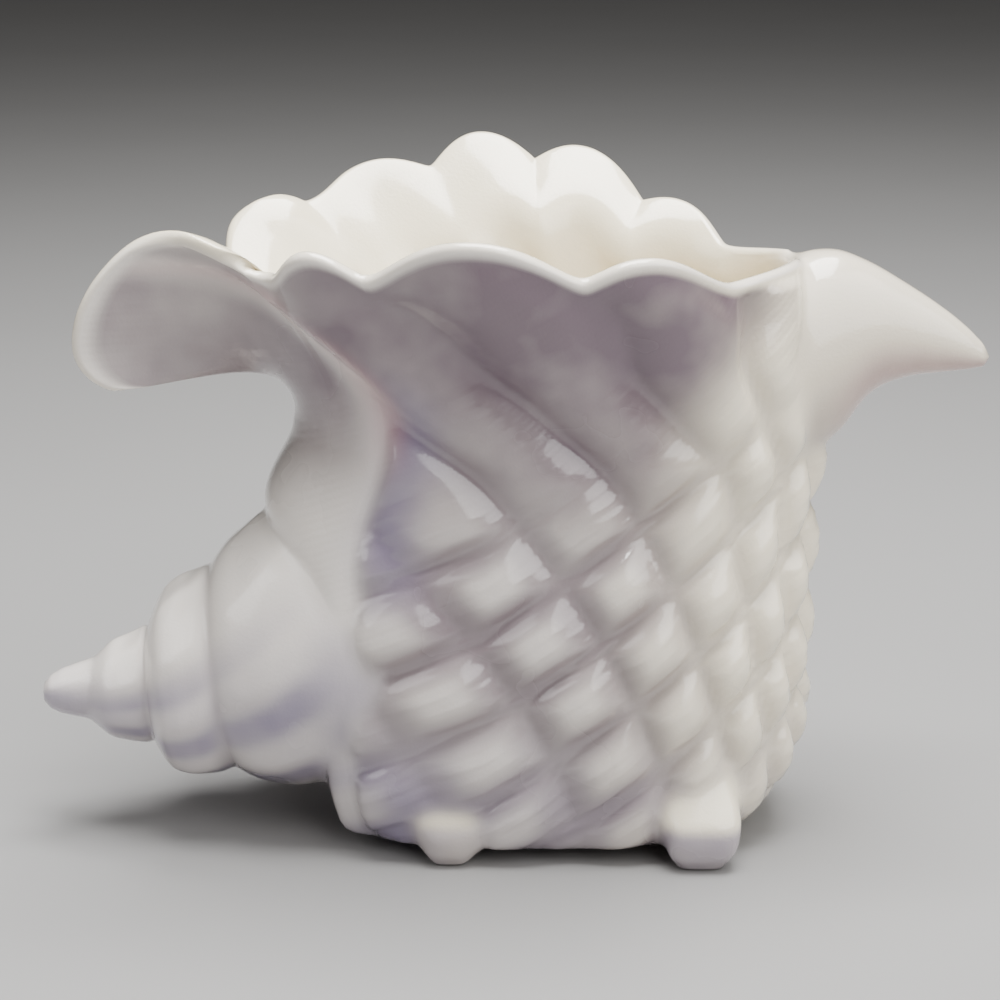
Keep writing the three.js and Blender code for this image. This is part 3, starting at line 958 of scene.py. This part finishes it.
@dataclass(frozen=True)
class Placement:
    """Millimetres of the drawing to metres of the row, worked out from the CAD part's box."""

    nominal_length: float = 330.5
    middle: tuple[float, float] = (3.75, 0.888)

    def apply(self, mesh: bpy.types.Mesh) -> None:
        """Scales and moves a mesh so that its box stands where the CAD part's does.

        Args:
            mesh: mesh in millimetres.
        """
        low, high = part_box(NODE)
        scale = (high.x - low.x) / self.nominal_length
        points = np.empty(len(mesh.vertices) * 3, np.float32)
        mesh.vertices.foreach_get("co", points)
        points = points.reshape(-1, 3) * scale
        shift = [
            (low.x + high.x) / 2 - self.middle[0] * scale,
            (low.y + high.y) / 2 - self.middle[1] * scale,
            low.z,
        ]
        mesh.vertices.foreach_set("co", (points + np.array(shift)).astype(np.float32).ravel())
        mesh.update()


@dataclass(frozen=True)
class KilnGrain:
    """Shader group shared by the finishes: soft clouding of the glaze and fine pin specks."""

    name: str = "kiln_grain"

    def group(self) -> bpy.types.NodeTree:
        """Builds the group once.

        Returns:
            A group with a Scale input and Cloud and Speck outputs, both between 0 and 1.
        """
        made = bpy.data.node_groups.get(self.name)
        if made:
            return made
        made = bpy.data.node_groups.new(self.name, "ShaderNodeTree")
        face = made.interface
        size = face.new_socket("Scale", in_out="INPUT", socket_type="NodeSocketFloat")
        size.default_value = 1.0
        face.new_socket("Cloud", in_out="OUTPUT", socket_type="NodeSocketFloat")
        face.new_socket("Speck", in_out="OUTPUT", socket_type="NodeSocketFloat")
        nodes, links = made.nodes, made.links
        given, put = nodes.new("NodeGroupInput"), nodes.new("NodeGroupOutput")
        where = nodes.new("ShaderNodeTexCoord")
        grown = nodes.new("ShaderNodeVectorMath")
        grown.operation = "SCALE"
        links.new(where.outputs["Object"], grown.inputs[0])
        links.new(given.outputs["Scale"], grown.inputs["Scale"])
        cloud = nodes.new("ShaderNodeTexNoise")
        cloud.inputs["Scale"].default_value = 22
        cloud.inputs["Detail"].default_value = 3
        speck = nodes.new("ShaderNodeTexNoise")
        speck.inputs["Scale"].default_value = 900
        speck.inputs["Detail"].default_value = 1
        for noise in (cloud, speck):
            links.new(grown.outputs[0], noise.inputs["Vector"])
        links.new(cloud.outputs["Fac"], put.inputs["Cloud"])
        links.new(speck.outputs["Fac"], put.inputs["Speck"])
        return made


@dataclass
class Nodes:
    """Short hand for building one material's nodes."""

    material: bpy.types.Material

    @classmethod
    def begin(cls, name: str) -> "Nodes":
        """Starts a new material.

        Args:
            name: the material's name.

        Returns:
            The short hand for its nodes.
        """
        made = bpy.data.materials.new(name)
        made.use_nodes = True
        return cls(made)

    @property
    def shader(self) -> bpy.types.Node:
        """The material's Principled BSDF."""
        return self.material.node_tree.nodes["Principled BSDF"]

    def grain(self, scale: float = 1.0) -> bpy.types.Node:
        """Places the shared grain group.

        Args:
            scale: how many times finer the grain is than it was built.

        Returns:
            The group's node.
        """
        placed = self.add("ShaderNodeGroup", node_tree=KilnGrain().group())
        placed.inputs["Scale"].default_value = scale
        return placed

    def bump(self, height: bpy.types.NodeSocket, strength: float, distance: float) -> None:
        """Feeds the shader's Normal with a bump.

        Args:
            height: socket that gives the bump's height.
            strength: the bump's strength, 0 to 1.
            distance: how far a height of 1 stands out, in metres.
        """
        node = self.add("ShaderNodeBump")
        node.inputs["Strength"].default_value = strength
        node.inputs["Distance"].default_value = distance
        self.link(height, node.inputs["Height"])
        self.link(node.outputs["Normal"], self.shader.inputs["Normal"])

    def add(self, kind: str, **values: object) -> bpy.types.Node:
        """Adds a node and sets its properties.

        Args:
            kind: node type.
            values: properties of the node.

        Returns:
            The node.
        """
        node = self.material.node_tree.nodes.new(kind)
        for key, value in values.items():
            setattr(node, key, value)
        return node

    def link(self, source: bpy.types.NodeSocket, target: bpy.types.NodeSocket) -> None:
        """Links two sockets."""
        self.material.node_tree.links.new(source, target)

    def mask(self, name: str) -> bpy.types.NodeSocket:
        """Value of one of the mesh's own attributes."""
        return self.add("ShaderNodeAttribute", attribute_name=name).outputs["Fac"]

    def math(self, operation: str, *given: object, clamp: bool = False) -> bpy.types.NodeSocket:
        """Arithmetic on sockets and numbers.

        Args:
            operation: Blender's name of it.
            given: sockets or numbers.
            clamp: keep the result between 0 and 1.

        Returns:
            The result.
        """
        node = self.add("ShaderNodeMath", operation=operation, use_clamp=clamp)
        for i, value in enumerate(given):
            if isinstance(value, bpy.types.NodeSocket):
                self.link(value, node.inputs[i])
            else:
                node.inputs[i].default_value = value
        return node.outputs[0]

    def tint(
        self, below: object, above: tuple, share: bpy.types.NodeSocket
    ) -> bpy.types.NodeSocket:
        """Lays one colour over another.

        Args:
            below: colour or socket underneath.
            above: colour on top.
            share: how much of it shows, 0 to 1.

        Returns:
            The mixed colour.
        """
        node = self.add("ShaderNodeMix", data_type="RGBA")
        node.clamp_factor = True
        if isinstance(below, bpy.types.NodeSocket):
            self.link(below, node.inputs["A"])
        else:
            node.inputs["A"].default_value = (*below, 1)
        node.inputs["B"].default_value = (*above, 1)
        self.link(share, node.inputs["Factor"])
        return node.outputs["Result"]


@dataclass(frozen=True)
class PearlGlaze:
    """Glossy pearl-white glaze, airbrushed mauve and lavender outside and cream inside, with
    painted shade mixed into the mauve, lavender and blush and a dark painted shade in the grooves.
    """

    pearl: tuple = (0.88, 0.82, 0.755)
    cream: tuple = (0.95, 0.855, 0.64)
    mauve_and_shade: tuple = (0.155, 0.105, 0.135)
    lavender_and_shade: tuple = (0.20, 0.165, 0.29)
    blush_and_shade: tuple = (0.48, 0.23, 0.25)
    groove_shade: tuple = (0.11, 0.065, 0.10)

    def material(self) -> bpy.types.Material:
        """Principled clay under a clear coat; masks and clouding drive colour and bump.

        Returns:
            The material.
        """
        kit = Nodes.begin("pearl_glaze")
        shader, grain = kit.shader, kit.grain()
        cloud, speck = grain.outputs["Cloud"], grain.outputs["Speck"]
        swing = kit.math("MULTIPLY_ADD", cloud, 1.1, 0.42)
        colour = kit.tint(self.pearl, self.cream, kit.mask("cream"))
        # Mauve: the glaze's tint and painted shade.
        colour = kit.tint(colour, self.mauve_and_shade, kit.math("MULTIPLY", kit.mask("mauve_and_shade"), swing))
        # Painted shade: a dark colour in the grooves and the spire's sutures.
        colour = kit.tint(colour, self.groove_shade, kit.math("MULTIPLY", kit.mask("groove"), 0.5))
        # Lavender: the glaze's tint and painted shade on the spire's underside and low down.
        share = kit.math("MULTIPLY", kit.mask("lavender_and_shade"), kit.math("MULTIPLY", swing, 0.8))
        colour = kit.tint(colour, self.lavender_and_shade, share)
        # Blush: pink touches, and painted shade under the beak.
        colour = kit.tint(colour, self.blush_and_shade, kit.math("MULTIPLY", kit.mask("blush_and_shade"), 0.5))
        kit.link(colour, shader.inputs["Base Color"])
        rough = kit.math("MULTIPLY_ADD", cloud, 0.12, 0.2)
        kit.link(rough, shader.inputs["Roughness"])
        strokes = kit.math("SINE", kit.math("MULTIPLY", kit.mask("cord"), 2 * math.pi * 11))
        kit.bump(kit.math("MULTIPLY_ADD", strokes, 0.25, speck), 0.12, 0.0006)
        shader.inputs["Coat Weight"].default_value = 1.0
        shader.inputs["Coat Roughness"].default_value = 0.09
        shader.inputs["Coat IOR"].default_value = 1.52
        return kit.material


@dataclass(frozen=True)
class BareClay:
    """Unglazed bisque of the four pads that stand on the kiln shelf."""

    clay: tuple = (0.66, 0.60, 0.52)
    dust: tuple = (0.50, 0.45, 0.39)

    def material(self) -> bpy.types.Material:
        """Matt clay, mottled by the grain.

        Returns:
            The material.
        """
        kit = Nodes.begin("bare_clay")
        shader, grain = kit.shader, kit.grain(2.0)
        colour = kit.tint(self.clay, self.dust, grain.outputs["Cloud"])
        kit.link(colour, shader.inputs["Base Color"])
        rough = kit.math("MULTIPLY_ADD", grain.outputs["Speck"], 0.2, 0.72)
        kit.link(rough, shader.inputs["Roughness"])
        kit.bump(grain.outputs["Speck"], 0.3, 0.0004)
        return kit.material


@dataclass(frozen=True)
class ConchVase:
    """The whole vase: cup, spire, beak and four feet cast as one hollow piece."""

    cup: Cup = Cup()
    spire: Spire = Spire()
    feet: tuple[Foot, ...] = (
        Foot(-17, -43, 8, 8),
        Foot(69, -46, 9, 9),
        Foot(-26, 42, 9, 8),
        Foot(69, 46, 9, 9),
    )

    def build(self) -> bpy.types.Object:
        """Joins the outer shells on to the cup, opens the hollows and fillets the joins.

        Returns:
            The vase, placed and in metres, without materials.
        """
        vase = Casting(self.cup.shell().solid())
        outer = [self.spire.shell("spire", 0, 0, 0, Skin.SPIRE), BEAK.shell("beak", Skin.BEAK)]
        outer += [foot.shell() for foot in self.feet]
        for shell in outer:
            trimmed = Casting(shell.solid())
            trimmed.combine(self.cup.room(), "DIFFERENCE")
            vase.combine(trimmed.thing, "UNION")
            LOG.info("%s joined", shell.name)
        hollow = Spire(rows=60, lines=64).shell("spire_hollow", 10, 4.2, 2.5, Skin.HOLLOW)
        vase.combine(hollow, "DIFFERENCE")
        vase.combine(BEAK_HOLLOW.shell("beak_hollow", Skin.HOLLOW), "DIFFERENCE")
        vase.tidy()
        vase.soften()
        Placement().apply(vase.thing.data)
        vase.thing.name = vase.thing.data.name = "conch_vase_glazed"
        return vase.thing

    def dress(self, vase: bpy.types.Object) -> None:
        """Gives the vase its glaze, and its pads their bare clay.

        Args:
            vase: the finished shape.
        """
        mesh = vase.data
        mesh.materials.clear()
        mesh.materials.append(PearlGlaze().material())
        mesh.materials.append(BareClay().material())
        centres = np.empty(len(mesh.polygons) * 3, np.float32)
        mesh.polygons.foreach_get("center", centres)
        on_shelf = centres.reshape(-1, 3)[:, 2] < 2e-4
        mesh.polygons.foreach_set("material_index", on_shelf.astype(np.int32))
        mesh.polygons.foreach_set("use_smooth", np.ones(len(mesh.polygons), bool))
        mesh.update()


@dataclass(frozen=True)
class Studio:
    """Pale floor, soft lights and the camera."""

    target: tuple[float, float, float] = (-0.00375, -0.00089, 0.117)
    distance: float = 0.9
    elevation: float = 16.0
    lens: float = 92.3

    def floor(self) -> bpy.types.Object:
        """Wide plain floor under the vase.

        Returns:
            The floor.
        """
        mesh = bpy.data.meshes.new("studio_floor")
        mesh.from_pydata([(-9, -9, 0), (9, -9, 0), (9, 9, 0), (-9, 9, 0)], [], [(0, 1, 2, 3)])
        floor = bpy.data.objects.new("studio_floor", mesh)
        bpy.context.scene.collection.objects.link(floor)
        kit = Nodes.begin("pale_floor")
        cloud = kit.grain(0.2).outputs["Cloud"]
        tone = kit.tint((0.31, 0.305, 0.30), (0.29, 0.285, 0.28), cloud)
        kit.link(tone, kit.shader.inputs["Base Color"])
        kit.shader.inputs["Roughness"].default_value = 0.6
        mesh.materials.append(kit.material)
        return floor

    def light(self, name: str, place: tuple, size: tuple, power: float) -> None:
        """Soft panel that faces the vase.

        Args:
            name: light's name.
            place: where it hangs.
            size: its width and height.
            power: watts.
        """
        data = bpy.data.lights.new(name, "AREA")
        data.shape, data.size, data.size_y, data.energy = "RECTANGLE", *size, power
        lamp = bpy.data.objects.new(name, data)
        at, to = np.array(place), np.array(self.target)
        lamp.location = place
        away = unit(at - to)
        lamp.rotation_euler = (math.acos(away[2]), 0, math.atan2(away[0], -away[1]))
        bpy.context.scene.collection.objects.link(lamp)

    def camera(self) -> None:
        """Camera in front of the vase, looking slightly down."""
        data = bpy.data.cameras.new("camera")
        data.lens, data.sensor_width = self.lens, 36
        data.clip_end = 40
        camera = bpy.data.objects.new("camera", data)
        tilt = math.radians(self.elevation)
        x, y, z = self.target
        camera.location = (
            x,
            y - self.distance * math.cos(tilt),
            z + self.distance * math.sin(tilt),
        )
        camera.rotation_euler = (math.pi / 2 - tilt, 0, 0)
        bpy.context.scene.collection.objects.link(camera)
        bpy.context.scene.camera = camera

    def build(self) -> bpy.types.Object:
        """Sets up the room.

        Returns:
            The floor.
        """
        world = bpy.data.worlds.new("studio")
        world.use_nodes = True
        sky = world.node_tree.nodes["Background"]
        sky.inputs["Color"].default_value = (1.0, 0.98, 0.96, 1)
        sky.inputs["Strength"].default_value = 0.1
        bpy.context.scene.world = world
        self.light("overhead", (0.1, 0.0, 1.35), (1.0, 0.8), 54)
        self.light("left_panel", (-1.1, -0.4, 0.9), (0.9, 0.9), 5)
        self.light("right_panel", (0.9, -0.8, 1.0), (1.8, 1.3), 25)
        self.camera()
        return self.floor()


def main() -> None:
    """Builds the vase and the studio."""
    logging.basicConfig(level=logging.INFO, format="%(name)s: %(message)s")
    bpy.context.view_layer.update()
    design = ConchVase()
    vase = design.build()
    design.dress(vase)
    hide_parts(NODE)
    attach(vase, "root")
    LOG.info("vase: %d vertices, %d faces", len(vase.data.vertices), len(vase.data.polygons))
    Studio().build()
    LOG.info("studio set up")


if __name__ == "__main__":
    main()
